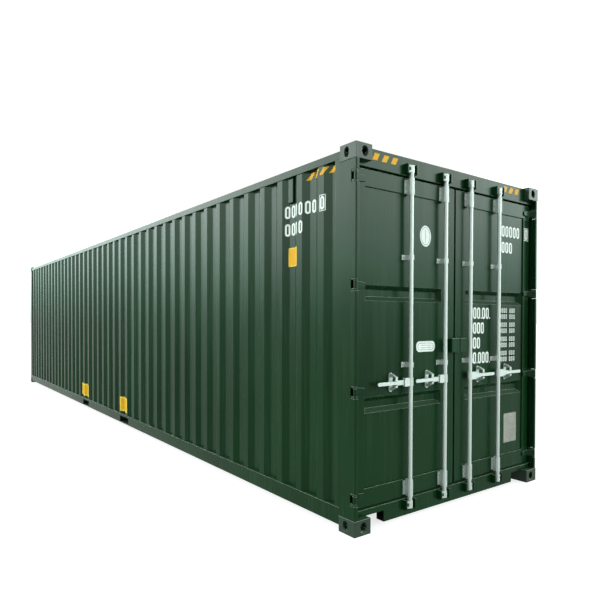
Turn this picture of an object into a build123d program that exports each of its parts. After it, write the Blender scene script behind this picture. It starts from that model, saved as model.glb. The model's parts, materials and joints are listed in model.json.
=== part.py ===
from build123d import *
from math import atan, degrees
import os

# A forty foot high cube shipping container, doors at -Y, standing on its corner castings.

# Overall size of a forty foot high cube container
LENGTH = 12192.0
WIDTH = 2438.0
HEIGHT = 2896.0
HALF_L = LENGTH / 2
HALF_W = WIDTH / 2

# Corner castings
CAST_LENGTH = 178.0
CAST_WIDTH = 162.0
CAST_HEIGHT = 118.0
CAST_FACE_WALL = 28.0
CAST_OUTER_WALL = 16.0
CAST_INNER_WALL = 10.0
LIFT_HOLE_LENGTH = 124.5
LIFT_HOLE_WIDTH = 63.5
LIFT_HOLE_FROM_END = 103.5
LIFT_HOLE_FROM_SIDE = 89.5
HAND_HOLE_HEIGHT = 79.5
SIDE_HOLE_WIDTH = 51.0
END_HOLE_WIDTH = 63.5
HAND_HOLE_SIDES = 8
CUT_THROUGH = 1.0

# Frame: how far it lies inside the castings' faces, and its sheet thicknesses
FRAME_SET = 3.0
POST_SHEET = 6.0
BOX_SHEET = 4.0

# Door end corner posts
DOOR_POST_REAR = 30.0
DOOR_POST_SIDE = 235.0
POST_CORNER_RADIUS = 9.0
DOOR_STOP_WIDTH = 113.0
DOOR_STOP_DEPTH = 40.0
DOOR_STOP_SHEET = 12.0
POST_LIP = 44.0

# Blind end corner posts
BLIND_POST_SIDE = 180.0
BLIND_POST_END = 162.0

# Rails
TOP_RAIL = 60.0
TOP_RAIL_SHEET = 3.0
TOP_RAIL_BELOW_TOP = 34.0
SIDE_RAIL_BOTTOM = 46.0
SIDE_RAIL_TOP = 176.0
SIDE_RAIL_SHEET = 4.5
SIDE_RAIL_TOP_FLANGE = 48.0
SIDE_RAIL_BOTTOM_FLANGE = 30.0

# Door header, door sill and the cross pieces of the blind end
HEADER_FACE = 50.0
HEADER_DEPTH = 80.0
HEADER_BELOW_TOP = 8.0
HEADER_HEIGHT = 145.0
HEADER_TOP = HEIGHT - HEADER_BELOW_TOP
HEADER_BOTTOM = HEADER_TOP - HEADER_HEIGHT
SILL_FACE = 50.0
SILL_DEPTH = 80.0
SILL_BOTTOM = 30.0
SILL_TOP = 166.0
SILL_NOTCH_FROM_MIDDLE = 868.0
BLIND_BEAM_SET = 6.0
BLIND_BEAM_DEPTH = 60.0
BLIND_SILL_TOP = 178.0

# Corrugated sheet of the long sides
SHEET = 2.0
SIDE_SHEET_SET = 8.0
SIDE_WAVES = 41
SIDE_CREST = 74.0
SIDE_SLOPE = 68.0
SIDE_WAVE_DEPTH = 36.0

# Corrugated sheet of the blind end
BLIND_WAVES = 8
BLIND_CREST = 110.0
BLIND_SLOPE = 18.0
BLIND_WAVE_DEPTH = 45.0
BLIND_SHEET_SET = 14.0

# Roof sheet with stamped crests
ROOF_WAVES = 57
ROOF_CREST = 120.0
ROOF_SLOPE = 14.0
ROOF_RISE = 20.0
ROOF_MARGIN = 70.0
ROOF_LAP = 40.0

# Floor and what carries it
FLOOR_TOP = 178.0
FLOOR_BOARD = 28.0
FLOOR_FROM_SIDE = 52.0
MEMBER_PITCH = 305.0
MEMBER_FLANGE = 45.0
MEMBER_SHEET = 4.0

# Fork pockets
POCKET_SPACING = 2050.0
POCKET_WIDTH = 366.0
POCKET_SHEET = 6.0
POCKET_STRAP = 200.0

# Gooseneck tunnel under the blind end
TUNNEL_WIDTH = 1029.0
TUNNEL_LENGTH = 3150.0
TUNNEL_ROOF = 122.0
TUNNEL_SHEET = 4.0
TUNNEL_MEMBER_GAP = 1.0

# Ventilators, one high on each long side
VENT_MARGIN = 1.7
VENT_HEIGHT = 205.0
VENT_DEPTH = 22.0
VENT_BELOW_RAIL = 8.0
VENT_TROUGH = 2
VENT_EDGE = 5.0

# Door leaves
DOOR_FACE = 64.0
DOOR_THICK = 50.0
DOOR_BOTTOM = 178.0
DOOR_TOP_GAP = 13.0
DOOR_TOP = HEADER_BOTTOM - DOOR_TOP_GAP
DOOR_HEIGHT = DOOR_TOP - DOOR_BOTTOM
DOOR_FROM_SIDE = 50.0
DOOR_HALF_GAP = 10.0
STILE = 100.0
DOOR_TOP_RAIL = 128.0
DOOR_BOTTOM_RAIL = 140.0
PANEL_SET = 10.0
GROOVE_SHARES = (0.301, 0.637)
GROOVE_HEIGHTS = tuple(DOOR_BOTTOM + share * DOOR_HEIGHT for share in GROOVE_SHARES)
GROOVE_HEIGHT = 122.0
GROOVE_DEPTH = 36.0
GROOVE_SLOPE = 32.0
GROOVE_FROM_MIDDLE = 165.0
GROOVE_FROM_SIDE = 162.0
GASKET_DEPTH = 8.0
GASKET_LIP = 6.0
GASKET_HELD = 18.0
GASKET_MIDDLE_LIP = 4.0
DOOR_STOP_CLEARANCE = 6.0

# Hinges
HINGE_COUNT = 4
HINGE_ABOVE_BOTTOM = 94.0
HINGE_BELOW_TOP = 78.0
HINGE_LOWEST = DOOR_BOTTOM + HINGE_ABOVE_BOTTOM
HINGE_STEP = (DOOR_HEIGHT - HINGE_ABOVE_BOTTOM - HINGE_BELOW_TOP) / (HINGE_COUNT - 1)
HINGE_HEIGHTS = tuple(HINGE_LOWEST + i * HINGE_STEP for i in range(HINGE_COUNT))
PIN_INSET = 16.0
PIN_RADIUS = 10.0
PIN_CLEARANCE = 0.1
KNUCKLE_RADIUS = 15.0
LUG_SIDES = 8
PIN_SIDES = 8
KNUCKLE_HEIGHT = 60.0
LUG_THICK = 13.0
LUG_CLEARANCE = 0.4
LUG_REACH = 90.0
LUG_WIDTH = 24.0
NOTCH_HEIGHT = 92.0
NOTCH_DEPTH = 54.0
BLADE_THICK = 10.0
BLADE_REACH = 150.0
BLADE_TIP_HEIGHT = 38.0

# Locking bars
BAR_PLACES = (600.0, 172.0)
BAR_INSET = 23.0
BAR_RADIUS = 17.0
BAR_BOTTOM = 92.0
BAR_BELOW_TOP = 72.0
BAR_TOP = HEIGHT - BAR_BELOW_TOP
CAM_RADIUS = 22.0
CAM_SIDES = 8
CAM_CLAW_RADIUS = 9.0
CAM_REACH = 38.0
CAM_PLATE = 15.0
CAM_NOTCH = 21.0
CAM_HEIGHT = 58.0

# Keepers that the cams turn into, on header and sill
KEEPER_GAP = 46.0
KEEPER_CHEEK = 12.0
KEEPER_FRONT = 8.0
KEEPER_HEIGHT = 78.0

# Brackets that hold the bars on the doors
BORE_CLEARANCE = 0.1
SLEEVE_RADIUS = 22.5
SLEEVE_SIDES = 8
BORE_SIDES = 8
BASE_THICK = 5.0
END_BRACKET_HEIGHT = 134.0
END_BRACKET_WIDTH = 84.0
END_BRACKET_BASE = 112.0
BRACKET_BELOW_TOP = 71.0
BRACKET_ABOVE_BOTTOM = 74.0
TOP_BRACKET_MIDDLE = DOOR_TOP - BRACKET_BELOW_TOP
BOTTOM_BRACKET_MIDDLE = DOOR_BOTTOM + BRACKET_ABOVE_BOTTOM
GUIDE_ABOVE_GROOVE = 293.0
GUIDE_HEIGHTS = tuple(height + GUIDE_ABOVE_GROOVE for height in GROOVE_HEIGHTS)
GUIDE_HEIGHT = 40.0
GUIDE_WIDTH = 116.0
WEB_WIDTH = 26.0

# Handles, their hubs on the bars, and what holds them down
HANDLE_LEVEL = 1104.0
HANDLE_PIVOT = 55.0
HANDLE_REACH = 366.0
HANDLE_HEIGHT = 28.0
HANDLE_ROOT_HEIGHT = 38.0
HANDLE_ROOT_REACH = 158.0
HANDLE_THICK = 8.0
HANDLE_EYE = 17.0
HANDLE_TIP_SIDES = 12
HANDLE_PIN_SIDES = 8
HANDLE_SIDE_CLEARANCE = 2.0
HANDLE_PIN_RADIUS = 6.0
HANDLE_PIN_CLEARANCE = 0.1
HUB_CHEEK = 6.0
HUB_HEIGHT = 66.0
HUB_REACH = 78.0
HUB_RADIUS = 22.0
HUB_SIDES = 8
RETAINER_PLACE = 178.0
RETAINER_WIDTH = 42.0
RETAINER_BOTTOM = 1032.0
RETAINER_TOP = 1182.0
RETAINER_ARM = 22.0
RETAINER_END_SIDES = 12
REST_FOOT = 8.0
REST_ROOT = 24.0
REST_TIP = 14.0
CATCH_PIVOT = 1162.0
CATCH_HUB_RADIUS = 13.0
CATCH_WIDTH = 24.0
CATCH_TIP = 1123.0
CATCH_SHOULDER = 1152.0
CATCH_ELBOW = 1147.5
CATCH_FRONT = 5.0
CATCH_PLATE = 8.0
CATCH_PIN_LENGTH = 16.0
CATCH_PIN_RADIUS = 6.0
CATCH_PIN_CLEARANCE = 0.1
CATCH_PIN_SIDES = 8
CATCH_BACK_CLEARANCE = 0.3
ARM_CLEARANCE = 5.0

# Lock box, one half on each door
LOCK_BOX_OUTER = {"left": 105.0, "right": 85.0}
LOCK_BOX_HALF_GAP = 6.0
LOCK_BOX_BOTTOM = 1321.0
LOCK_BOX_TOP = 1441.0
LOCK_BOX_FRONT = 2.0
LOCK_BOX_SHEET = 5.0

# What follows from the sizes above
CAST_TOP_Z = HEIGHT - CAST_HEIGHT
RAIL_TOP_Z = HEIGHT - TOP_RAIL_BELOW_TOP
RAIL_UNDER_Z = RAIL_TOP_Z - TOP_RAIL
RAIL_LENGTH = LENGTH - 2 * CAST_LENGTH
FLOOR_UNDER_Z = FLOOR_TOP - FLOOR_BOARD
DOOR_BACK = DOOR_FACE + DOOR_THICK
GASKET_BACK = DOOR_BACK + GASKET_DEPTH
DOOR_STOP_FACE = GASKET_BACK + DOOR_STOP_CLEARANCE
SIDES = {"left": -1, "right": 1}
ENDS = {"door": -1, "blind": 1}


def save(piece, label):
    """Labels a finished piece and writes its file."""
    piece.part.label = label
    export_step(piece.part, f"parts/{label}.step")


def block(x, y, z, mode=Mode.ADD):
    """A straight block in the current part, each axis given by its two faces."""
    centre = (sum(x) / 2, sum(y) / 2, sum(z) / 2)
    with Locations(centre):
        Box(abs(x[1] - x[0]), abs(y[1] - y[0]), abs(z[1] - z[0]), mode=mode)


def from_side(side, inset):
    """X of a point that lies so far inside the long side's plane."""
    return side * (HALF_W - inset)


def from_end(end, inset):
    """Y of a point that lies so far inside the end's plane."""
    return end * (HALF_L - inset)


def door_y(inset):
    """Y of a point that lies so far inside the door end's plane."""
    return from_end(-1, inset)


def oblong(length, width, sides):
    """Oblong outline in the current sketch, along its X, with each round end drawn in flats."""
    end = (length - width) / 2
    Rectangle(2 * end, width)
    with Locations((-end, 0), (end, 0)):
        RegularPolygon(width / 2, sides)


def corner_castings(end_name):
    """The four hollow castings of an end, each with a lifting hole and two hand holes."""
    end = ENDS[end_name]
    y_faces = (from_end(end, 0), from_end(end, CAST_LENGTH))
    y_room = (from_end(end, CAST_OUTER_WALL), from_end(end, CAST_LENGTH - CAST_INNER_WALL))
    hole_y = from_end(end, LIFT_HOLE_FROM_END)
    with BuildPart() as castings:
        for side in SIDES.values():
            x_faces = (from_side(side, 0), from_side(side, CAST_WIDTH))
            x_room = (from_side(side, CAST_OUTER_WALL), from_side(side, CAST_WIDTH - CAST_INNER_WALL))
            hole_x = from_side(side, LIFT_HOLE_FROM_SIDE)
            for face_z, up in ((0.0, -1), (HEIGHT, 1)):
                hole_z = face_z - up * CAST_HEIGHT / 2
                block(x_faces, y_faces, (face_z, face_z - up * CAST_HEIGHT))
                block(
                    x_room,
                    y_room,
                    (face_z - up * CAST_FACE_WALL, face_z - up * (CAST_HEIGHT - CAST_INNER_WALL)),
                    Mode.SUBTRACT,
                )
                with BuildSketch(Plane((hole_x, hole_y, face_z), x_dir=(0, 1, 0), z_dir=(0, 0, up))):
                    SlotOverall(LIFT_HOLE_LENGTH, LIFT_HOLE_WIDTH)
                extrude(amount=-(CAST_FACE_WALL + CUT_THROUGH), mode=Mode.SUBTRACT)
                with BuildSketch(Plane((x_faces[0], hole_y, hole_z), x_dir=(0, 0, 1), z_dir=(side, 0, 0))):
                    oblong(HAND_HOLE_HEIGHT, SIDE_HOLE_WIDTH, HAND_HOLE_SIDES)
                extrude(amount=-(CAST_OUTER_WALL + CUT_THROUGH), mode=Mode.SUBTRACT)
                with BuildSketch(Plane((hole_x, y_faces[0], hole_z), x_dir=(0, 0, 1), z_dir=(0, end, 0))):
                    oblong(HAND_HOLE_HEIGHT, END_HOLE_WIDTH, HAND_HOLE_SIDES)
                extrude(amount=-(CAST_OUTER_WALL + CUT_THROUGH), mode=Mode.SUBTRACT)
    save(castings, f"{end_name}_castings")


def door_post(side_name):
    """Folded door end post with the channel that the door closes against."""
    side = SIDES[side_name]
    flange_in = FRAME_SET + POST_SHEET
    stop_back = DOOR_STOP_FACE + DOOR_STOP_DEPTH
    stop_inner = flange_in + DOOR_STOP_WIDTH
    upright = (CAST_HEIGHT, RAIL_UNDER_Z)
    with BuildPart() as post:
        block(
            (from_side(side, FRAME_SET), from_side(side, FRAME_SET + DOOR_POST_REAR)),
            (door_y(0), door_y(POST_SHEET)),
            upright,
        )
        block(
            (from_side(side, FRAME_SET), from_side(side, flange_in)),
            (door_y(0), door_y(DOOR_POST_SIDE)),
            upright,
        )
        corner = post.edges().filter_by(Axis.Z).sort_by_distance(
            (from_side(side, FRAME_SET), door_y(0), HEIGHT / 2)
        )[0]
        fillet(corner, POST_CORNER_RADIUS)
        block(
            (from_side(side, flange_in), from_side(side, POST_LIP)),
            (door_y(DOOR_POST_SIDE - POST_SHEET), door_y(DOOR_POST_SIDE)),
            upright,
        )
        block(
            (from_side(side, flange_in), from_side(side, stop_inner)),
            (door_y(DOOR_STOP_FACE), door_y(DOOR_STOP_FACE + DOOR_STOP_SHEET)),
            upright,
        )
        for inset in (flange_in, stop_inner - DOOR_STOP_SHEET):
            block(
                (from_side(side, inset), from_side(side, inset + DOOR_STOP_SHEET)),
                (door_y(DOOR_STOP_FACE), door_y(stop_back)),
                upright,
            )
        block(
            (from_side(side, 0), from_side(side, stop_inner)),
            (door_y(0), door_y(CAST_LENGTH)),
            (CAST_TOP_Z, RAIL_UNDER_Z),
            Mode.SUBTRACT,
        )
        block(
            (from_side(side, 0), from_side(side, stop_inner)),
            (door_y(CAST_LENGTH), door_y(DOOR_POST_SIDE)),
            (CAST_HEIGHT, SIDE_RAIL_TOP),
            Mode.SUBTRACT,
        )
        for height in HINGE_HEIGHTS:
            block(
                (from_side(side, 0), from_side(side, FRAME_SET + DOOR_POST_REAR)),
                (door_y(0), door_y(NOTCH_DEPTH)),
                (height - NOTCH_HEIGHT / 2, height + NOTCH_HEIGHT / 2),
                Mode.SUBTRACT,
            )
    save(post, f"door_{side_name}_post")


def hinge_lugs(side_name):
    """Pairs of lugs on the post with the pin that each hinge turns on."""
    side = SIDES[side_name]
    pin_x = from_side(side, PIN_INSET)
    pin_y = door_y(PIN_INSET)
    lug_low = KNUCKLE_HEIGHT / 2 + LUG_CLEARANCE
    root_inset = FRAME_SET + POST_SHEET
    root_x = from_side(side, root_inset + LUG_WIDTH / 2)
    root_y = door_y((NOTCH_DEPTH + LUG_REACH) / 2)
    with BuildPart() as lugs:
        for height in HINGE_HEIGHTS:
            for low in (height + lug_low, height - lug_low - LUG_THICK):
                with BuildSketch(Plane.XY.offset(low)):
                    with Locations((pin_x, pin_y)):
                        RegularPolygon(KNUCKLE_RADIUS, LUG_SIDES)
                    with Locations((root_x, root_y)):
                        Rectangle(LUG_WIDTH, LUG_REACH - NOTCH_DEPTH)
                    make_hull()
                    with Locations((from_side(side, root_inset / 2), root_y)):
                        Rectangle(root_inset, LUG_REACH - NOTCH_DEPTH, mode=Mode.SUBTRACT)
                extrude(amount=LUG_THICK)
            with BuildSketch(Plane.XY.offset(height - lug_low - LUG_THICK)):
                with Locations((pin_x, pin_y)):
                    RegularPolygon(PIN_RADIUS, PIN_SIDES)
            extrude(amount=2 * (lug_low + LUG_THICK))
    save(lugs, f"{side_name}_hinge_lugs")


def blind_post(side_name):
    """Folded angle post of the blind end."""
    side = SIDES[side_name]
    flange_in = FRAME_SET + POST_SHEET
    upright = (CAST_HEIGHT, RAIL_UNDER_Z)
    with BuildPart() as post:
        block(
            (from_side(side, FRAME_SET), from_side(side, flange_in)),
            (from_end(1, FRAME_SET), from_end(1, BLIND_POST_SIDE)),
            upright,
        )
        block(
            (from_side(side, FRAME_SET), from_side(side, BLIND_POST_END)),
            (from_end(1, FRAME_SET), from_end(1, flange_in)),
            upright,
        )
        corner = post.edges().filter_by(Axis.Z).sort_by_distance(
            (from_side(side, FRAME_SET), from_end(1, FRAME_SET), HEIGHT / 2)
        )[0]
        fillet(corner, POST_CORNER_RADIUS)
        block(
            (from_side(side, flange_in), from_side(side, POST_LIP)),
            (from_end(1, BLIND_POST_SIDE - POST_SHEET), from_end(1, BLIND_POST_SIDE)),
            upright,
        )
        block(
            (from_side(side, BLIND_POST_END - POST_SHEET), from_side(side, BLIND_POST_END)),
            (from_end(1, flange_in), from_end(1, BLIND_SHEET_SET + BLIND_WAVE_DEPTH)),
            upright,
        )
        block(
            (from_side(side, 0), from_side(side, CAST_WIDTH)),
            (from_end(1, 0), from_end(1, CAST_LENGTH)),
            (CAST_TOP_Z, RAIL_UNDER_Z),
            Mode.SUBTRACT,
        )
        block(
            (from_side(side, 0), from_side(side, CAST_WIDTH)),
            (from_end(1, CAST_LENGTH), from_end(1, BLIND_POST_SIDE)),
            (CAST_HEIGHT, SIDE_RAIL_TOP),
            Mode.SUBTRACT,
        )
    save(post, f"blind_{side_name}_post")


def casting_cut(end, low, high):
    """Clears the room of the two castings at one end out of the current part."""
    for side in SIDES.values():
        block(
            (from_side(side, 0), from_side(side, CAST_WIDTH)),
            (from_end(end, 0), from_end(end, CAST_LENGTH)),
            (low, high),
            Mode.SUBTRACT,
        )


def door_header():
    """Box beam over the doors."""
    inset = FRAME_SET + POST_SHEET
    with BuildPart() as header:
        with BuildSketch(Plane.YZ.offset(-HALF_W + inset)):
            with Locations((door_y(HEADER_FACE + HEADER_DEPTH / 2), (HEADER_BOTTOM + HEADER_TOP) / 2)):
                Rectangle(HEADER_DEPTH, HEADER_TOP - HEADER_BOTTOM)
                Rectangle(
                    HEADER_DEPTH - 2 * BOX_SHEET,
                    HEADER_TOP - HEADER_BOTTOM - 2 * BOX_SHEET,
                    mode=Mode.SUBTRACT,
                )
        extrude(amount=WIDTH - 2 * inset)
        casting_cut(-1, CAST_TOP_Z, HEIGHT)
        for side in SIDES.values():
            block(
                (from_side(side, inset), from_side(side, inset + DOOR_STOP_WIDTH)),
                (door_y(DOOR_STOP_FACE), door_y(HEADER_FACE + HEADER_DEPTH)),
                (HEADER_BOTTOM, HEADER_TOP),
                Mode.SUBTRACT,
            )
    save(header, "door_header")


def door_sill():
    """Box beam under the doors, cut away beside the bottom castings."""
    inset = FRAME_SET + POST_SHEET
    with BuildPart() as sill:
        with BuildSketch(Plane.YZ.offset(-HALF_W + inset)):
            with Locations((door_y(SILL_FACE + SILL_DEPTH / 2), (SILL_BOTTOM + SILL_TOP) / 2)):
                Rectangle(SILL_DEPTH, SILL_TOP - SILL_BOTTOM)
                Rectangle(
                    SILL_DEPTH - 2 * BOX_SHEET,
                    SILL_TOP - SILL_BOTTOM - 2 * BOX_SHEET,
                    mode=Mode.SUBTRACT,
                )
        extrude(amount=WIDTH - 2 * inset)
        for side in SIDES.values():
            block(
                (side * SILL_NOTCH_FROM_MIDDLE, from_side(side, 0)),
                (door_y(0), door_y(CAST_LENGTH)),
                (0, CAST_HEIGHT),
                Mode.SUBTRACT,
            )
            block(
                (from_side(side, inset), from_side(side, inset + DOOR_STOP_WIDTH)),
                (door_y(DOOR_STOP_FACE), door_y(SILL_FACE + SILL_DEPTH)),
                (0, SILL_TOP),
                Mode.SUBTRACT,
            )
    save(sill, "door_sill")


def blind_beam(label, low, high, low_cut, high_cut):
    """Box beam across the blind end, between the posts and castings."""
    inset = BLIND_POST_END
    with BuildPart() as beam:
        with BuildSketch(Plane.YZ.offset(-HALF_W + inset)):
            with Locations((from_end(1, BLIND_BEAM_SET + BLIND_BEAM_DEPTH / 2), (low + high) / 2)):
                Rectangle(BLIND_BEAM_DEPTH, high - low)
                Rectangle(BLIND_BEAM_DEPTH - 2 * BOX_SHEET, high - low - 2 * BOX_SHEET, mode=Mode.SUBTRACT)
        extrude(amount=WIDTH - 2 * inset)
        casting_cut(1, low_cut, high_cut)
        if low < TUNNEL_ROOF:
            half_tunnel = TUNNEL_WIDTH / 2 + TUNNEL_SHEET
            block(
                (-half_tunnel, half_tunnel),
                (from_end(1, 0), from_end(1, BLIND_BEAM_SET + BLIND_BEAM_DEPTH)),
                (0, TUNNEL_ROOF + TUNNEL_SHEET),
                Mode.SUBTRACT,
            )
    save(beam, label)


def top_side_rail(side_name):
    """Square tube along the top of a long side."""
    side = SIDES[side_name]
    with BuildPart() as rail:
        with BuildSketch(Plane.XZ.offset(-RAIL_LENGTH / 2)):
            with Locations((from_side(side, FRAME_SET + TOP_RAIL / 2), RAIL_UNDER_Z + TOP_RAIL / 2)):
                Rectangle(TOP_RAIL, TOP_RAIL)
                Rectangle(TOP_RAIL - 2 * TOP_RAIL_SHEET, TOP_RAIL - 2 * TOP_RAIL_SHEET, mode=Mode.SUBTRACT)
        extrude(amount=RAIL_LENGTH)
    save(rail, f"top_{side_name}_rail")


def bottom_side_rail(side_name):
    """Channel along the bottom of a long side, open to the inside, with fork holes."""
    side = SIDES[side_name]
    along = (-RAIL_LENGTH / 2, RAIL_LENGTH / 2)
    web_in = FRAME_SET + SIDE_RAIL_SHEET
    hole_low = SIDE_RAIL_BOTTOM + SIDE_RAIL_SHEET + POCKET_SHEET
    hole_high = FLOOR_UNDER_Z - POCKET_SHEET
    with BuildPart() as rail:
        block((from_side(side, FRAME_SET), from_side(side, web_in)), along, (SIDE_RAIL_BOTTOM, SIDE_RAIL_TOP))
        block(
            (from_side(side, FRAME_SET), from_side(side, FRAME_SET + SIDE_RAIL_TOP_FLANGE)),
            along,
            (SIDE_RAIL_TOP - SIDE_RAIL_SHEET, SIDE_RAIL_TOP),
        )
        block(
            (from_side(side, FRAME_SET), from_side(side, FRAME_SET + SIDE_RAIL_BOTTOM_FLANGE)),
            along,
            (SIDE_RAIL_BOTTOM, SIDE_RAIL_BOTTOM + SIDE_RAIL_SHEET),
        )
        for middle in (-POCKET_SPACING / 2, POCKET_SPACING / 2):
            block(
                (from_side(side, FRAME_SET), from_side(side, web_in)),
                (middle - POCKET_WIDTH / 2, middle + POCKET_WIDTH / 2),
                (hole_low, hole_high),
                Mode.SUBTRACT,
            )
    save(rail, f"bottom_{side_name}_rail")


def wave_trough(length, waves, crest, slope):
    """Width of each trough of a wave that starts and ends on a trough."""
    return (length - waves * (crest + 2 * slope)) / (waves + 1)


def wave_line(start, length, waves, crest, slope, trough_at, crest_at):
    """Points of a trapezoid wave that starts and ends on a trough."""
    trough = wave_trough(length, waves, crest, slope)
    points = [(start, trough_at)]
    place = start + trough
    for _ in range(waves):
        points.append((place, trough_at))
        points.append((place + slope, crest_at))
        points.append((place + slope + crest, crest_at))
        points.append((place + 2 * slope + crest, trough_at))
        place += 2 * slope + crest + trough
    points.append((start + length, trough_at))
    return points


def side_wall(side_name):
    """Corrugated sheet of a long side, from rail to rail."""
    side = SIDES[side_name]
    start = door_y(DOOR_POST_SIDE)
    length = LENGTH - DOOR_POST_SIDE - BLIND_POST_SIDE
    crest_x = from_side(side, SIDE_SHEET_SET)
    trough_x = from_side(side, SIDE_SHEET_SET + SIDE_WAVE_DEPTH - SHEET)
    line = wave_line(start, length, SIDE_WAVES, SIDE_CREST, SIDE_SLOPE, trough_x, crest_x)
    outer = [(x, y) for y, x in line]
    inner = [(x - side * SHEET, y) for y, x in reversed(line)]
    with BuildPart() as wall:
        with BuildSketch(Plane.XY.offset(SIDE_RAIL_TOP)):
            with BuildLine():
                Polyline(*outer, *inner, close=True)
            make_face()
        extrude(amount=RAIL_UNDER_Z - SIDE_RAIL_TOP)
    save(wall, f"{side_name}_side_wall")


def blind_wall():
    """Corrugated sheet of the blind end, between the posts."""
    start = -HALF_W + BLIND_POST_END
    length = WIDTH - 2 * BLIND_POST_END
    crest_y = from_end(1, BLIND_SHEET_SET)
    trough_y = from_end(1, BLIND_SHEET_SET + BLIND_WAVE_DEPTH - SHEET)
    line = wave_line(start, length, BLIND_WAVES, BLIND_CREST, BLIND_SLOPE, trough_y, crest_y)
    inner = [(x, y - SHEET) for x, y in reversed(line)]
    with BuildPart() as wall:
        with BuildSketch(Plane.XY.offset(BLIND_SILL_TOP)):
            with BuildLine():
                Polyline(*line, *inner, close=True)
            make_face()
        extrude(amount=RAIL_UNDER_Z - BLIND_SILL_TOP)
    save(wall, "blind_wall")


def roof_panel():
    """Roof sheet that lies on the top rails, with crests stamped across it."""
    door_edge = door_y(HEADER_FACE + HEADER_DEPTH)
    blind_edge = from_end(1, BLIND_BEAM_SET + BLIND_BEAM_DEPTH)
    length = blind_edge - door_edge
    middle = (blind_edge + door_edge) / 2
    half_width = HALF_W - FRAME_SET - TOP_RAIL + ROOF_LAP
    pitch = (length - ROOF_MARGIN) / ROOF_WAVES
    crest_width = 2 * (half_width - ROOF_MARGIN)
    slant = degrees(atan(ROOF_SLOPE / ROOF_RISE))
    with BuildPart() as roof:
        block((-half_width, half_width), (door_edge, blind_edge), (RAIL_TOP_Z, RAIL_TOP_Z + SHEET))
        for low, inset, mode in ((RAIL_TOP_Z + SHEET, 0, Mode.ADD), (RAIL_TOP_Z, SHEET, Mode.SUBTRACT)):
            with BuildSketch(Plane.XY.offset(low)):
                with Locations((0, middle)):
                    with GridLocations(1, pitch, 1, ROOF_WAVES):
                        Rectangle(crest_width - 2 * inset, ROOF_CREST + 2 * (ROOF_SLOPE - inset))
            extrude(amount=ROOF_RISE, taper=slant, mode=mode)
        for end in ENDS.values():
            casting_cut(end, RAIL_TOP_Z, HEIGHT)
    save(roof, "roof_panel")


def member_places():
    """Y of each cross member, with none over the fork pockets."""
    first = door_y(SILL_FACE + SILL_DEPTH + MEMBER_PITCH / 2)
    count = int((LENGTH - SILL_FACE - SILL_DEPTH - MEMBER_PITCH) // MEMBER_PITCH) + 1
    places = [first + i * MEMBER_PITCH for i in range(count)]
    reach = POCKET_WIDTH / 2 + POCKET_SHEET + MEMBER_FLANGE
    return [y for y in places if abs(abs(y) - POCKET_SPACING / 2) > reach]


def cross_members():
    """Channels under the floor, from rail to rail or up to the tunnel and over it."""
    half = HALF_W - FRAME_SET - SIDE_RAIL_SHEET
    low = SIDE_RAIL_BOTTOM + SIDE_RAIL_SHEET
    tunnel_half = TUNNEL_WIDTH / 2 + TUNNEL_SHEET
    over_tunnel = tunnel_half - TUNNEL_MEMBER_GAP
    tunnel_start = from_end(1, TUNNEL_LENGTH)
    height = FLOOR_UNDER_Z - low
    corner = (Align.MIN, Align.MIN)
    whole = [y for y in member_places() if y + MEMBER_FLANGE < tunnel_start]
    split = [y for y in member_places() if y > tunnel_start]
    runs = (
        (whole, -half, 2 * half),
        (split, -half, half - tunnel_half),
        (split, tunnel_half, half - tunnel_half),
    )
    with BuildPart() as members:
        for places, start, length in runs:
            with BuildSketch(Plane.YZ.offset(start)):
                with Locations(*[(y, low) for y in places]):
                    Rectangle(MEMBER_SHEET, height, align=corner)
                    Rectangle(MEMBER_FLANGE, MEMBER_SHEET, align=corner)
                with Locations(*[(y, FLOOR_UNDER_Z - MEMBER_SHEET) for y in places]):
                    Rectangle(MEMBER_FLANGE, MEMBER_SHEET, align=corner)
            extrude(amount=length)
        with BuildSketch(Plane.YZ.offset(-over_tunnel)):
            with Locations(*[(y, TUNNEL_ROOF + TUNNEL_SHEET) for y in split]):
                Rectangle(MEMBER_FLANGE, FLOOR_UNDER_Z - TUNNEL_ROOF - TUNNEL_SHEET, align=corner)
        extrude(amount=2 * over_tunnel)
    save(members, "cross_members")


def fork_pockets():
    """Two steel sleeves from rail to rail that take a lift truck's forks."""
    half = HALF_W - FRAME_SET - SIDE_RAIL_SHEET
    low = SIDE_RAIL_BOTTOM + SIDE_RAIL_SHEET
    high = FLOOR_UNDER_Z
    with BuildPart() as pockets:
        for middle in (-POCKET_SPACING / 2, POCKET_SPACING / 2):
            outer = (middle - POCKET_WIDTH / 2 - POCKET_SHEET, middle + POCKET_WIDTH / 2 + POCKET_SHEET)
            inner = (middle - POCKET_WIDTH / 2, middle + POCKET_WIDTH / 2)
            block((-half, half), outer, (low, high))
            block((-half, half), inner, (low + POCKET_SHEET, high - POCKET_SHEET), Mode.SUBTRACT)
            strap = half - POCKET_STRAP
            block((-strap, strap), inner, (low, low + POCKET_SHEET), Mode.SUBTRACT)
    save(pockets, "fork_pockets")


def gooseneck_tunnel():
    """Folded sheet that forms the tunnel under the blind end."""
    half = TUNNEL_WIDTH / 2
    start = from_end(1, TUNNEL_LENGTH)
    stop = from_end(1, BLIND_BEAM_SET)
    with BuildPart() as tunnel:
        block(
            (-half - TUNNEL_SHEET, half + TUNNEL_SHEET),
            (start, stop),
            (SILL_BOTTOM, TUNNEL_ROOF + TUNNEL_SHEET),
        )
        block((-half, half), (start, stop), (SILL_BOTTOM, TUNNEL_ROOF), Mode.SUBTRACT)
    save(tunnel, "gooseneck_tunnel")


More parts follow.
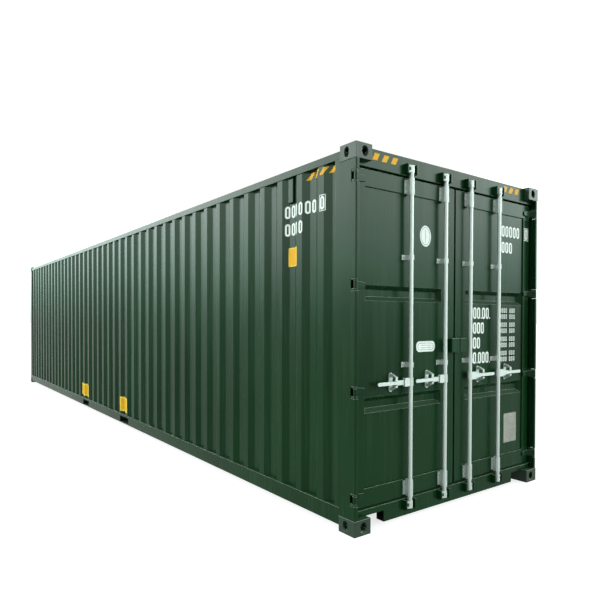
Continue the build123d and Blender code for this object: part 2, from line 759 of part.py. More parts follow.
def floor_boards():
    """The timber floor, notched round the door posts' stops."""
    half = HALF_W - FLOOR_FROM_SIDE
    door_edge = door_y(SILL_FACE + SILL_DEPTH)
    blind_edge = from_end(1, BLIND_BEAM_SET + BLIND_BEAM_DEPTH)
    notch = FRAME_SET + POST_SHEET + DOOR_STOP_WIDTH
    with BuildPart() as boards:
        block((-half, half), (door_edge, blind_edge), (FLOOR_UNDER_Z, FLOOR_TOP))
        for side in SIDES.values():
            block(
                (from_side(side, FLOOR_FROM_SIDE), from_side(side, notch)),
                (door_edge, door_y(DOOR_STOP_FACE + DOOR_STOP_DEPTH)),
                (FLOOR_UNDER_Z, FLOOR_TOP),
                Mode.SUBTRACT,
            )
    save(boards, "floor_boards")


def keepers():
    """Cheek pairs on header and sill that the cams turn between."""
    cam_levels = (BAR_BOTTOM + CAM_HEIGHT / 2, BAR_TOP - CAM_HEIGHT / 2)
    with BuildPart() as cheeks:
        for place in BAR_PLACES:
            for bar_x in (-place, place):
                for level in cam_levels:
                    for side in SIDES.values():
                        near = bar_x + side * KEEPER_GAP
                        block(
                            (near, near + side * KEEPER_CHEEK),
                            (door_y(KEEPER_FRONT), door_y(HEADER_FACE)),
                            (level - KEEPER_HEIGHT / 2, level + KEEPER_HEIGHT / 2),
                        )
    save(cheeks, "cam_keepers")


def ventilators():
    """A plain vent hood in a trough of each long side, high and near the end."""
    trough = wave_trough(LENGTH - DOOR_POST_SIDE - BLIND_POST_SIDE, SIDE_WAVES, SIDE_CREST, SIDE_SLOPE)
    pitch = trough + SIDE_CREST + 2 * SIDE_SLOPE
    width = trough - 2 * VENT_MARGIN
    back = SIDE_SHEET_SET + SIDE_WAVE_DEPTH - SHEET
    top = RAIL_UNDER_Z - VENT_BELOW_RAIL
    with BuildPart() as vents:
        for side_name, end in (("left", -1), ("right", 1)):
            side = SIDES[side_name]
            post = DOOR_POST_SIDE if end < 0 else BLIND_POST_SIDE
            vent_y = from_end(end, post + trough / 2 + VENT_TROUGH * pitch)
            across = (from_side(side, back), from_side(side, back - VENT_DEPTH))
            block(across, (vent_y - width / 2, vent_y + width / 2), (top - VENT_HEIGHT, top))
        fronts = vents.faces().filter_by(Axis.X).sort_by(Axis.X)
        chamfer(fronts[0].edges() + fronts[-1].edges(), VENT_EDGE)
    save(vents, "ventilators")


def door_frame(side_name):
    """Hollow stiles and rails of a door leaf."""
    side = SIDES[side_name]
    inner_x = side * DOOR_HALF_GAP
    outer_x = from_side(side, DOOR_FROM_SIDE)
    thick = (door_y(DOOR_FACE), door_y(DOOR_BACK))
    room = (door_y(DOOR_FACE + BOX_SHEET), door_y(DOOR_BACK - BOX_SHEET))
    panel_x = (inner_x + side * STILE, outer_x - side * STILE)
    with BuildPart() as frame:
        block((inner_x, outer_x), thick, (DOOR_BOTTOM, DOOR_TOP))
        block(panel_x, thick, (DOOR_BOTTOM + DOOR_BOTTOM_RAIL, DOOR_TOP - DOOR_TOP_RAIL), Mode.SUBTRACT)
        for stile_x in (inner_x, panel_x[1]):
            block(
                (stile_x + side * BOX_SHEET, stile_x + side * (STILE - BOX_SHEET)),
                room,
                (DOOR_BOTTOM + BOX_SHEET, DOOR_TOP - BOX_SHEET),
                Mode.SUBTRACT,
            )
        for low, high in (
            (DOOR_BOTTOM, DOOR_BOTTOM + DOOR_BOTTOM_RAIL),
            (DOOR_TOP - DOOR_TOP_RAIL, DOOR_TOP),
        ):
            block(panel_x, room, (low + BOX_SHEET, high - BOX_SHEET), Mode.SUBTRACT)
    save(frame, f"{side_name}_door_frame")


def door_panel(side_name):
    """Pressed steel panel of a door, with two wide grooves."""
    side = SIDES[side_name]
    inner_x = side * (DOOR_HALF_GAP + STILE)
    outer_x = from_side(side, DOOR_FROM_SIDE + STILE)
    low = DOOR_BOTTOM + DOOR_BOTTOM_RAIL
    high = DOOR_TOP - DOOR_TOP_RAIL
    groove_x = (side * GROOVE_FROM_MIDDLE, from_side(side, GROOVE_FROM_SIDE))
    groove_length = abs(groove_x[1] - groove_x[0])
    groove_middle = sum(groove_x) / 2
    face = DOOR_FACE + PANEL_SET
    with BuildPart() as panel:
        block((inner_x, outer_x), (door_y(face), door_y(face + SHEET)), (low, high))
        for inset, start, mode in ((0, face + SHEET, Mode.ADD), (SHEET, face, Mode.SUBTRACT)):
            wide = groove_length - 2 * inset
            tall = GROOVE_HEIGHT - 2 * inset
            middle_y = door_y(start + GROOVE_DEPTH / 2)
            with Locations(*[(groove_middle, middle_y, height) for height in GROOVE_HEIGHTS]):
                Wedge(
                    wide, GROOVE_DEPTH, tall,
                    GROOVE_SLOPE, GROOVE_SLOPE, wide - GROOVE_SLOPE, tall - GROOVE_SLOPE,
                    mode=mode,
                )
    save(panel, f"{side_name}_door_panel")


def door_gasket(side_name):
    """Rubber seal round the inner face of a door."""
    side = SIDES[side_name]
    inner_x = side * (DOOR_HALF_GAP - GASKET_MIDDLE_LIP)
    outer_x = from_side(side, DOOR_FROM_SIDE - GASKET_LIP)
    deep = (door_y(DOOR_BACK), door_y(GASKET_BACK))
    held = GASKET_HELD + GASKET_LIP
    with BuildPart() as gasket:
        block((inner_x, outer_x), deep, (DOOR_BOTTOM - GASKET_LIP, DOOR_TOP + GASKET_LIP))
        block(
            (inner_x + side * held, outer_x - side * held),
            deep,
            (DOOR_BOTTOM - GASKET_LIP + held, DOOR_TOP + GASKET_LIP - held),
            Mode.SUBTRACT,
        )
    save(gasket, f"{side_name}_door_gasket")


def door_hinges(side_name):
    """Forged hinge blades of a door, each with its knuckle round the pin."""
    side = SIDES[side_name]
    pin_x = from_side(side, PIN_INSET)
    pin_y = door_y(PIN_INSET)
    face = door_y(DOOR_FACE)
    front = door_y(DOOR_FACE - BLADE_THICK)
    edge_x = from_side(side, DOOR_FROM_SIDE)
    with BuildPart() as hinges:
        for height in HINGE_HEIGHTS:
            with BuildSketch(Plane.XY.offset(height - KNUCKLE_HEIGHT / 2)):
                with Locations((pin_x, pin_y)):
                    Circle(KNUCKLE_RADIUS)
                with BuildLine():
                    Polyline(
                        (from_side(side, PIN_INSET), door_y(PIN_INSET + KNUCKLE_RADIUS)),
                        (edge_x, face),
                        (from_side(side, BLADE_REACH), face),
                        (from_side(side, BLADE_REACH), front),
                        (from_side(side, DOOR_FROM_SIDE + BLADE_THICK), front),
                        (from_side(side, PIN_INSET + KNUCKLE_RADIUS), door_y(PIN_INSET)),
                        close=True,
                    )
                make_face()
                with Locations((pin_x, pin_y)):
                    RegularPolygon(PIN_RADIUS + PIN_CLEARANCE, PIN_SIDES, major_radius=False, mode=Mode.SUBTRACT)
            extrude(amount=KNUCKLE_HEIGHT)
            for up in (-1, 1):
                with BuildSketch(Plane.XZ.offset(-face)):
                    with BuildLine():
                        Polyline(
                            (from_side(side, DOOR_FROM_SIDE + BLADE_THICK), height + up * KNUCKLE_HEIGHT / 2),
                            (from_side(side, BLADE_REACH), height + up * KNUCKLE_HEIGHT / 2),
                            (from_side(side, BLADE_REACH), height + up * BLADE_TIP_HEIGHT / 2),
                            close=True,
                        )
                    make_face()
                extrude(amount=BLADE_THICK, mode=Mode.SUBTRACT)
    save(hinges, f"{side_name}_door_hinges")


def bar_brackets(side_name):
    """What holds the two bars of a door: bearings at the ends and guides between."""
    side = SIDES[side_name]
    end_levels = (BOTTOM_BRACKET_MIDDLE, TOP_BRACKET_MIDDLE)
    kinds = (
        (end_levels, END_BRACKET_HEIGHT, END_BRACKET_WIDTH, END_BRACKET_BASE, DOOR_FACE),
        (GUIDE_HEIGHTS, GUIDE_HEIGHT, GUIDE_WIDTH, GUIDE_HEIGHT, DOOR_FACE + PANEL_SET),
    )
    with BuildPart() as brackets:
        for place in BAR_PLACES:
            bar_x = side * place
            bar_y = door_y(BAR_INSET)
            for levels, height, base_width, base_height, seat in kinds:
                web_y = (bar_y + door_y(seat - BASE_THICK)) / 2
                web_length = seat - BASE_THICK - BAR_INSET
                for level in levels:
                    block(
                        (bar_x - base_width / 2, bar_x + base_width / 2),
                        (door_y(seat - BASE_THICK), door_y(seat)),
                        (level - base_height / 2, level + base_height / 2),
                    )
                    with BuildSketch(Plane.XY.offset(level - height / 2)):
                        with Locations((bar_x, bar_y)):
                            RegularPolygon(SLEEVE_RADIUS, SLEEVE_SIDES)
                        with Locations((bar_x, web_y)):
                            Rectangle(WEB_WIDTH, web_length)
                    extrude(amount=height)
            with BuildSketch(Plane.XY.offset(DOOR_BOTTOM)):
                with Locations((bar_x, bar_y)):
                    RegularPolygon(BAR_RADIUS + BORE_CLEARANCE, BORE_SIDES, major_radius=False)
            extrude(amount=DOOR_HEIGHT, mode=Mode.SUBTRACT)
    save(brackets, f"{side_name}_bar_brackets")


def handle_retainers(side_name):
    """Plates behind the handles, with the rest under each and the pin of its catch."""
    side = SIDES[side_name]
    plate_back = DOOR_FACE + PANEL_SET
    plate_front = door_y(plate_back - BASE_THICK)
    rest_top = HANDLE_LEVEL - HANDLE_HEIGHT / 2 - ARM_CLEARANCE
    with BuildPart() as retainers:
        for place in BAR_PLACES:
            middle_x = side * (place + RETAINER_PLACE)
            plate_middle = (middle_x, door_y(plate_back), (RETAINER_BOTTOM + RETAINER_TOP) / 2)
            with BuildSketch(Plane(plate_middle, x_dir=(0, 0, 1), z_dir=(0, -1, 0))):
                oblong(RETAINER_TOP - RETAINER_BOTTOM, RETAINER_WIDTH, RETAINER_END_SIDES)
            extrude(amount=BASE_THICK)
            with BuildSketch(Plane.YZ.offset(middle_x - RETAINER_ARM / 2)):
                with BuildLine():
                    Polyline(
                        (plate_front, RETAINER_BOTTOM + REST_FOOT),
                        (plate_front, RETAINER_BOTTOM + REST_FOOT + REST_ROOT),
                        (door_y(CATCH_FRONT + CATCH_PLATE), rest_top),
                        (door_y(CATCH_FRONT), rest_top),
                        (door_y(CATCH_FRONT), rest_top - REST_TIP),
                        close=True,
                    )
                make_face()
            extrude(amount=RETAINER_ARM)
            with BuildSketch(Plane((middle_x, plate_front, CATCH_PIVOT), z_dir=(0, -1, 0))):
                RegularPolygon(CATCH_PIN_RADIUS, CATCH_PIN_SIDES)
            extrude(amount=CATCH_PIN_LENGTH)
    save(retainers, f"{side_name}_handle_retainers")


def lock_box(side_name):
    """Half of the box round the padlock, open towards the other half and below."""
    side = SIDES[side_name]
    near = side * LOCK_BOX_HALF_GAP
    far = side * LOCK_BOX_OUTER[side_name]
    with BuildPart() as box:
        block((near, far), (door_y(LOCK_BOX_FRONT), door_y(DOOR_FACE)), (LOCK_BOX_BOTTOM, LOCK_BOX_TOP))
        block(
            (near, far - side * LOCK_BOX_SHEET),
            (door_y(LOCK_BOX_FRONT + LOCK_BOX_SHEET), door_y(DOOR_FACE)),
            (LOCK_BOX_BOTTOM, LOCK_BOX_TOP - LOCK_BOX_SHEET),
            Mode.SUBTRACT,
        )
    save(box, f"{side_name}_lock_box")


def locking_bar(side_name, number, place):
    """Turning bar with a forged cam at each end and the forked hub of its handle."""
    side = SIDES[side_name]
    bar_x = side * place
    bar_y = door_y(BAR_INSET)
    hub_low = HANDLE_LEVEL - HUB_HEIGHT / 2
    cheek_near = HANDLE_THICK / 2 + HANDLE_SIDE_CLEARANCE
    with BuildPart() as bar:
        with Locations((bar_x, bar_y, (BAR_BOTTOM + BAR_TOP) / 2)):
            Cylinder(BAR_RADIUS, BAR_TOP - BAR_BOTTOM)
        for low in (BAR_BOTTOM, BAR_TOP - CAM_HEIGHT):
            with BuildSketch(Plane.XY.offset(low)):
                with Locations((bar_x, bar_y)):
                    RegularPolygon(CAM_RADIUS, CAM_SIDES)
                with Locations((bar_x + side * (CAM_REACH - CAM_CLAW_RADIUS), bar_y)):
                    RegularPolygon(CAM_CLAW_RADIUS, CAM_SIDES)
                make_hull()
            extrude(amount=CAM_HEIGHT)
            block(
                (bar_x + side * CAM_NOTCH, bar_x + side * CAM_REACH),
                (bar_y - CAM_RADIUS, bar_y + CAM_RADIUS),
                (low + CAM_PLATE, low + CAM_HEIGHT - CAM_PLATE),
                Mode.SUBTRACT,
            )
        with BuildSketch(Plane.XY.offset(hub_low)):
            with Locations((bar_x, bar_y)):
                RegularPolygon(HUB_RADIUS, HUB_SIDES)
        extrude(amount=HUB_HEIGHT)
        for towards in (-1, 1):
            block(
                (bar_x, bar_x + side * HUB_REACH),
                (bar_y + towards * cheek_near, bar_y + towards * (cheek_near + HUB_CHEEK)),
                (hub_low, hub_low + HUB_HEIGHT),
            )
        with BuildSketch(Plane((bar_x + side * HANDLE_PIVOT, bar_y, HANDLE_LEVEL), z_dir=(0, 1, 0))):
            RegularPolygon(HANDLE_PIN_RADIUS, HANDLE_PIN_SIDES)
        extrude(amount=cheek_near + HUB_CHEEK, both=True)
    save(bar, f"{side_name}_bar_{number}")


def bar_handle(side_name, number, place):
    """Flat handle that hinges in the hub of its bar, deeper at the root."""
    side = SIDES[side_name]
    pivot_x = side * (place + HANDLE_PIVOT)
    tip_x = side * (place + HANDLE_REACH - HANDLE_HEIGHT / 2)
    eye_x = side * (place + HANDLE_PIVOT - HANDLE_EYE)
    root_x = side * (place + HANDLE_ROOT_REACH)
    with BuildPart() as handle:
        with BuildSketch(Plane.XZ.offset(-door_y(BAR_INSET + HANDLE_THICK / 2))):
            with Locations(((eye_x + root_x) / 2, HANDLE_LEVEL)):
                Rectangle(abs(root_x - eye_x), HANDLE_ROOT_HEIGHT)
            with Locations(((root_x + tip_x) / 2, HANDLE_LEVEL)):
                Rectangle(abs(tip_x - root_x), HANDLE_HEIGHT)
            with Locations((tip_x, HANDLE_LEVEL)):
                RegularPolygon(HANDLE_HEIGHT / 2, HANDLE_TIP_SIDES)
            with Locations((pivot_x, HANDLE_LEVEL)):
                RegularPolygon(
                    HANDLE_PIN_RADIUS + HANDLE_PIN_CLEARANCE,
                    HANDLE_PIN_SIDES,
                    major_radius=False,
                    mode=Mode.SUBTRACT,
                )
        extrude(amount=HANDLE_THICK)
    save(handle, f"{side_name}_handle_{number}")


def handle_catch(side_name, number, place):
    """Catch that turns on its pin and leans out over the handle's upper edge."""
    side = SIDES[side_name]
    middle_x = side * (place + RETAINER_PLACE)
    hub_back = DOOR_FACE + PANEL_SET - BASE_THICK - CATCH_BACK_CLEARANCE
    hub_front = hub_back - CATCH_PIN_LENGTH
    hub_top = CATCH_PIVOT + CATCH_HUB_RADIUS
    hub_low = CATCH_PIVOT - CATCH_HUB_RADIUS
    with BuildPart() as catch:
        with BuildSketch(Plane.YZ.offset(middle_x - CATCH_WIDTH / 2)):
            with BuildLine():
                Polyline(
                    (door_y(hub_back), hub_top),
                    (door_y(hub_front), hub_top),
                    (door_y(CATCH_FRONT), CATCH_SHOULDER),
                    (door_y(CATCH_FRONT), CATCH_TIP),
                    (door_y(CATCH_FRONT + CATCH_PLATE), CATCH_TIP),
                    (door_y(CATCH_FRONT + CATCH_PLATE), CATCH_ELBOW),
                    (door_y(hub_front), hub_low),
                    (door_y(hub_back), hub_low),
                    close=True,
                )
            make_face()
        extrude(amount=CATCH_WIDTH)
        with BuildSketch(Plane.XZ.offset(-door_y(hub_back))):
            with Locations((middle_x, CATCH_PIVOT)):
                RegularPolygon(CATCH_PIN_RADIUS + CATCH_PIN_CLEARANCE, CATCH_PIN_SIDES, major_radius=False)
        extrude(amount=CATCH_PIN_LENGTH, mode=Mode.SUBTRACT)
    save(catch, f"{side_name}_catch_{number}")


def build():
    """Makes every piece of the container."""
    os.makedirs("parts", exist_ok=True)
    for end_name in ENDS:
        corner_castings(end_name)
    door_header()
    door_sill()
    blind_beam("blind_header", RAIL_UNDER_Z, HEADER_TOP, CAST_TOP_Z, HEIGHT)
    blind_beam("blind_sill", SILL_BOTTOM, BLIND_SILL_TOP, 0, CAST_HEIGHT)
    blind_wall()
    roof_panel()
    cross_members()
    fork_pockets()
    gooseneck_tunnel()
    floor_boards()
    keepers()
    ventilators()
    for side_name in SIDES:
        door_post(side_name)
        hinge_lugs(side_name)
        blind_post(side_name)
        top_side_rail(side_name)
        bottom_side_rail(side_name)
        side_wall(side_name)
        door_frame(side_name)
        door_panel(side_name)
        door_gasket(side_name)
        door_hinges(side_name)
        bar_brackets(side_name)
        handle_retainers(side_name)
        lock_box(side_name)
        for number, place in enumerate(BAR_PLACES, start=1):
            locking_bar(side_name, number, place)
            bar_handle(side_name, number, place)
            handle_catch(side_name, number, place)


build()
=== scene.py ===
import json
from math import radians

import bpy
from mathutils import Matrix, Vector


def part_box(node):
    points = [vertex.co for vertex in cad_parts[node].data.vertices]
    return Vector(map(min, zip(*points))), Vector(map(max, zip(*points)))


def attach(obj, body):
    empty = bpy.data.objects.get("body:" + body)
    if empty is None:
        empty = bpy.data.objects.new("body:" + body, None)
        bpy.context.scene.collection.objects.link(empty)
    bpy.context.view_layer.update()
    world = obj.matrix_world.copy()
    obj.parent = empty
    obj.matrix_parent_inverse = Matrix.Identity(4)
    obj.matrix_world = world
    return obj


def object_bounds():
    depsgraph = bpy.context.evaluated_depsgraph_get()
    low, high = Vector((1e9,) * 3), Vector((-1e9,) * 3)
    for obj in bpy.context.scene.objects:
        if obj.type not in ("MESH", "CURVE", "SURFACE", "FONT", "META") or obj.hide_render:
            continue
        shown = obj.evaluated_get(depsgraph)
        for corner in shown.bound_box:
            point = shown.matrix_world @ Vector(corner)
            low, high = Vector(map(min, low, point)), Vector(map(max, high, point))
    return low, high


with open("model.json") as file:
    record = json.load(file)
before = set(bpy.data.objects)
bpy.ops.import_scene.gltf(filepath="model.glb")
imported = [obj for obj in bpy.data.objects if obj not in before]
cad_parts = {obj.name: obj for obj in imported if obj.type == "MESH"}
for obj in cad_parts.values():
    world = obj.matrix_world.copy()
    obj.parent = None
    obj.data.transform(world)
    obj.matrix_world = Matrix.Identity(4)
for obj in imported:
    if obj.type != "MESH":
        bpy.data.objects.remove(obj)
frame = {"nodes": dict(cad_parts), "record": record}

cad_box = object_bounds()

# Places read from the frame, in metres
SIDE_PLANE = cad_box[0].x
DOOR_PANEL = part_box("left_door_panel")[0].y
DOOR_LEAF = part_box("left_door_frame")[0].y
HEADER_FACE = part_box("door_header")[0].y
WALL_LOW, WALL_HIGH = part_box("left_side_wall")

# The folds of the long sides: flat outer crests and inner troughs with a slope between
WAVES = 41
WAVE_CREST = 0.074
WAVE_SLOPE = 0.068
WAVE_TROUGH = (WALL_HIGH.y - WALL_LOW.y - WAVES * (WAVE_CREST + 2 * WAVE_SLOPE)) / (WAVES + 1)
WAVE_PITCH = WAVE_TROUGH + WAVE_CREST + 2 * WAVE_SLOPE
SHEET = 0.002
CREST_X = WALL_LOW.x
TROUGH_X = WALL_HIGH.x - SHEET

# Middles of the locking bars, and the heights of what holds them on the doors
BAR_PLACES = (0.600, 0.172)
END_BRACKETS = (0.252, 2.659)
GUIDES = (1.239, 2.096)
BRACKET_PLATE = 0.005

# Bolts lie this far to both sides of a bar, and above and below the middle of an end bracket
END_BOLTS_ACROSS = 0.032
END_BOLTS_UP = 0.040
GUIDE_BOLTS_ACROSS = 0.042

# A film or a coat of stencil paint, drawn thicker than it is so that it stays clear of the steel
FILM = 0.0006
FILM_GAP = 0.0003

# Turns a mark that faces the doors' side towards the left long side
SIDE_TURN = radians(-90)

# Width, height and stroke of the noughts
LARGE_NOUGHT = (0.050, 0.106, 0.0175)
STILE_NOUGHT = (0.046, 0.104, 0.0165)
TABLE_NOUGHT = (0.048, 0.104, 0.0165)
SMALL_NOUGHT = (0.022, 0.044, 0.0062)

# Strength of the soft light from all round and of the two bright windows
SOFT_LIGHT = 0.25
WINDOW_LIGHT = 9.3
# Level direction of one window; the other faces it
WINDOW_WAY = (-0.79, 0.61, 0.0)

# Sockets of a colour Mix node, whose names it uses more than once
MIX_FACTOR, MIX_A, MIX_B, MIX_RESULT = 0, 6, 7, 2


# Materials

def linear(text):
    """Turns an sRGB hex value into linear red, green, blue and alpha."""
    values = [int(text[i:i + 2], 16) / 255 for i in (1, 3, 5)]
    return [v / 12.92 if v <= 0.04045 else ((v + 0.055) / 1.055) ** 2.4 for v in values] + [1.0]


def new_material(name):
    """An empty node material, its tree and its Principled shader."""
    material = bpy.data.materials.new(name)
    material.use_nodes = True
    return material, material.node_tree, material.node_tree.nodes["Principled BSDF"]


def node(tree, kind, settings=None, links=None):
    """Adds a node with its settings, its colour stops and the outputs that feed it."""
    made = tree.nodes.new(kind)
    for key, value in (settings or {}).items():
        if key == "stops":
            while len(made.color_ramp.elements) < len(value):
                made.color_ramp.elements.new(0.5)
            for element, (place, colour) in zip(made.color_ramp.elements, value):
                element.position = place
                element.color = linear(colour)
        elif isinstance(key, int) or key in made.inputs:
            made.inputs[key].default_value = value
        else:
            setattr(made, key, value)
    for key, source in (links or {}).items():
        tree.links.new(source, made.inputs[key])
    return made


def painted_steel(name, dark, plain, light, ledge_highlight, rough, peel, shine):
    """Alkyd enamel sprayed on steel: a deep even colour whose skin mirrors the sky softly."""
    material, tree, shader = new_material(name)
    place = node(tree, "ShaderNodeTexCoord").outputs["Object"]
    # Spraying leaves the tone a little uneven over about a metre
    drift = node(tree, "ShaderNodeTexNoise", {"Scale": 1.1, "Detail": 3.0}, {"Vector": place})
    tone = node(tree, "ShaderNodeValToRGB", {"stops": [(0.3, dark), (0.5, plain), (0.72, light)]},
                {"Fac": drift.outputs["Fac"]})
    # Rain draws the dust into faint upright streaks about 60 mm wide and a metre long
    stretch = node(tree, "ShaderNodeMapping", {"Scale": (16.0, 16.0, 1.0)}, {"Vector": place})
    streak = node(tree, "ShaderNodeTexNoise", {"Scale": 1.0, "Detail": 4.0},
                  {"Vector": stretch.outputs["Vector"]})
    dust = node(tree, "ShaderNodeMapRange",
                {"From Min": 0.5, "From Max": 0.85, "To Min": 0.0, "To Max": 0.09},
                {"Value": streak.outputs["Fac"]})
    dusty = node(tree, "ShaderNodeMix", {"data_type": "RGBA", MIX_B: linear("#4A5A4C")},
                 {MIX_FACTOR: dust.outputs["Result"], MIX_A: tone.outputs["Color"]})
    # Paint rounds a bent or cut edge, and the edges that look up get a painted highlight in a pale
    # dust colour
    soft_edge = node(tree, "ShaderNodeBevel", {"samples": 6, "Radius": 0.006})
    rise = node(tree, "ShaderNodeSeparateXYZ", links={"Vector": soft_edge.outputs["Normal"]})
    upward = node(tree, "ShaderNodeMapRange",
                  {"From Min": 0.12, "From Max": 0.5, "To Min": 0.0, "To Max": 1.0},
                  {"Value": rise.outputs["Z"]})
    flat = node(tree, "ShaderNodeNewGeometry")
    turn = node(tree, "ShaderNodeVectorMath", {"operation": "DOT_PRODUCT"},
                {0: soft_edge.outputs["Normal"], 1: flat.outputs["Normal"]})
    bend = node(tree, "ShaderNodeMapRange",
                {"From Min": 0.87, "From Max": 0.998, "To Min": 1.0, "To Max": 0.07},
                {"Value": turn.outputs["Value"]})
    highlight_mask = node(tree, "ShaderNodeMath", {"operation": "MULTIPLY"},
                 {0: upward.outputs["Result"], 1: bend.outputs["Result"]})
    highlighted = node(tree, "ShaderNodeMix", {"data_type": "RGBA", MIX_B: linear(ledge_highlight)},
                 {MIX_FACTOR: highlight_mask.outputs["Value"], MIX_A: dusty.outputs[MIX_RESULT]})
    tree.links.new(highlighted.outputs[MIX_RESULT], shader.inputs["Base Color"])
    # Dust dulls the gloss a little, and lies thicker on what faces up
    gloss = node(tree, "ShaderNodeMapRange",
                 {"From Min": 0.3, "From Max": 0.75,
                  "To Min": rough - 0.03, "To Max": rough + 0.08},
                 {"Value": streak.outputs["Fac"]})
    face = node(tree, "ShaderNodeSeparateXYZ", links={"Vector": flat.outputs["Normal"]})
    dull = node(tree, "ShaderNodeMapRange",
                {"From Min": 0.6, "From Max": 0.95, "To Min": 0.0, "To Max": 0.4},
                {"Value": face.outputs["Z"]})
    rougher = node(tree, "ShaderNodeMath", {"operation": "ADD"},
                   {0: gloss.outputs["Result"], 1: dull.outputs["Result"]})
    tree.links.new(rougher.outputs["Value"], shader.inputs["Roughness"])
    # Orange peel, about 3 mm across on the real paint, drawn at 12 mm so that it shows
    skin = node(tree, "ShaderNodeTexNoise", {"Scale": 85.0, "Detail": 2.0}, {"Vector": place})
    bump = node(tree, "ShaderNodeBump", {"Strength": peel, "Distance": 0.001},
                {"Height": skin.outputs["Fac"], "Normal": soft_edge.outputs["Normal"]})
    tree.links.new(bump.outputs["Normal"], shader.inputs["Normal"])
    shader.inputs["IOR"].default_value = 1.5
    shader.inputs["Specular IOR Level"].default_value = shine
    return material


# In each paint the fourth colour is a painted highlight, in a pale dust colour, on edges that look
# up
# Smooth sheet and rolled steel, deep green with a soft mirror of the sky
GREEN = painted_steel("green_enamel_on_steel", "#092A11", "#0B3015", "#0E351A", "#8FA48F",
                      rough=0.24, peel=0.1, shine=0.11)
# The same paint on a sand cast skin, which looks greyer, coarser and duller
CASTING = painted_steel("green_enamel_on_cast_steel", "#132A1A", "#18301F", "#1E3726", "#8FA48F",
                        rough=0.42, peel=0.5, shine=0.3)
# Dull dark paint under the floor, where road dirt takes the gloss away
UNDER = painted_steel("dark_enamel_underneath", "#18231B", "#1D2A21", "#243228", "#5E6E62",
                      rough=0.5, peel=0.3, shine=0.1)


def galvanised():
    """Hot dip galvanised steel: a dull pale grey zinc skin with only a trace of spangle."""
    material, tree, shader = new_material("hot_dip_galvanised_steel")
    place = node(tree, "ShaderNodeTexCoord").outputs["Object"]
    # Spangle, about 8 mm across
    spangle = node(tree, "ShaderNodeTexVoronoi", {"Scale": 120.0}, {"Vector": place})
    tone = node(tree, "ShaderNodeValToRGB", {"stops": [(0.1, "#B6C0BA"), (0.9, "#C0CAC4")]},
                {"Fac": spangle.outputs["Color"]})
    tree.links.new(tone.outputs["Color"], shader.inputs["Base Color"])
    # The dipped skin is a little uneven over about 30 mm
    dull = node(tree, "ShaderNodeTexNoise", {"Scale": 30.0, "Detail": 4.0}, {"Vector": place})
    gloss = node(tree, "ShaderNodeMapRange",
                 {"From Min": 0.3, "From Max": 0.7, "To Min": 0.42, "To Max": 0.52},
                 {"Value": dull.outputs["Fac"]})
    tree.links.new(gloss.outputs["Result"], shader.inputs["Roughness"])
    soft_edge = node(tree, "ShaderNodeBevel", {"samples": 4, "Radius": 0.0015})
    bump = node(tree, "ShaderNodeBump", {"Strength": 0.06, "Distance": 0.001},
                {"Height": dull.outputs["Fac"], "Normal": soft_edge.outputs["Normal"]})
    tree.links.new(bump.outputs["Normal"], shader.inputs["Normal"])
    shader.inputs["Metallic"].default_value = 0.35
    return material


ZINC = galvanised()


def seal_rubber():
    """Extruded EPDM rubber: soft black that greys a little where it rubs."""
    material, tree, shader = new_material("extruded_epdm_rubber")
    place = node(tree, "ShaderNodeTexCoord").outputs["Object"]
    rub = node(tree, "ShaderNodeTexNoise", {"Scale": 14.0, "Detail": 5.0}, {"Vector": place})
    tone = node(tree, "ShaderNodeValToRGB", {"stops": [(0.35, "#141615"), (0.7, "#242726")]},
                {"Fac": rub.outputs["Fac"]})
    tree.links.new(tone.outputs["Color"], shader.inputs["Base Color"])
    gloss = node(tree, "ShaderNodeMapRange",
                 {"From Min": 0.3, "From Max": 0.7, "To Min": 0.55, "To Max": 0.75},
                 {"Value": rub.outputs["Fac"]})
    tree.links.new(gloss.outputs["Result"], shader.inputs["Roughness"])
    shader.inputs["IOR"].default_value = 1.52
    return material


RUBBER = seal_rubber()


def floor_plywood():
    """Oiled hardwood plywood: red brown sheets 1.16 m wide and 2.4 m long with long grain."""
    material, tree, shader = new_material("oiled_hardwood_plywood")
    place = node(tree, "ShaderNodeTexCoord").outputs["Object"]
    sheets = node(tree, "ShaderNodeTexBrick",
                  {"Scale": 1.0, "Mortar Size": 0.002, "Brick Width": 1.16, "Row Height": 2.4,
                   "offset": 0.0, "Color1": linear("#7A5236"), "Color2": linear("#6B462E"),
                   "Mortar": linear("#241A12")},
                  {"Vector": place})
    # Grain lines about 15 mm apart that run the length of the floor
    along = node(tree, "ShaderNodeMapping", {"Scale": (60.0, 3.0, 60.0)}, {"Vector": place})
    grain = node(tree, "ShaderNodeTexNoise", {"Scale": 1.0, "Detail": 6.0, "Distortion": 0.4},
                 {"Vector": along.outputs["Vector"]})
    tone = node(tree, "ShaderNodeValToRGB", {"stops": [(0.3, "#5A3A26"), (0.7, "#946848")]},
                {"Fac": grain.outputs["Fac"]})
    mixed = node(tree, "ShaderNodeMix",
                 {"data_type": "RGBA", "blend_type": "MULTIPLY", MIX_FACTOR: 0.6},
                 {MIX_A: sheets.outputs["Color"], MIX_B: tone.outputs["Color"]})
    tree.links.new(mixed.outputs[MIX_RESULT], shader.inputs["Base Color"])
    bump = node(tree, "ShaderNodeBump", {"Strength": 0.3, "Distance": 0.001},
                {"Height": grain.outputs["Fac"]})
    tree.links.new(bump.outputs["Normal"], shader.inputs["Normal"])
    gloss = node(tree, "ShaderNodeMapRange",
                 {"From Min": 0.3, "From Max": 0.7, "To Min": 0.5, "To Max": 0.7},
                 {"Value": grain.outputs["Fac"]})
    tree.links.new(gloss.outputs["Result"], shader.inputs["Roughness"])
    return material


PLYWOOD = floor_plywood()


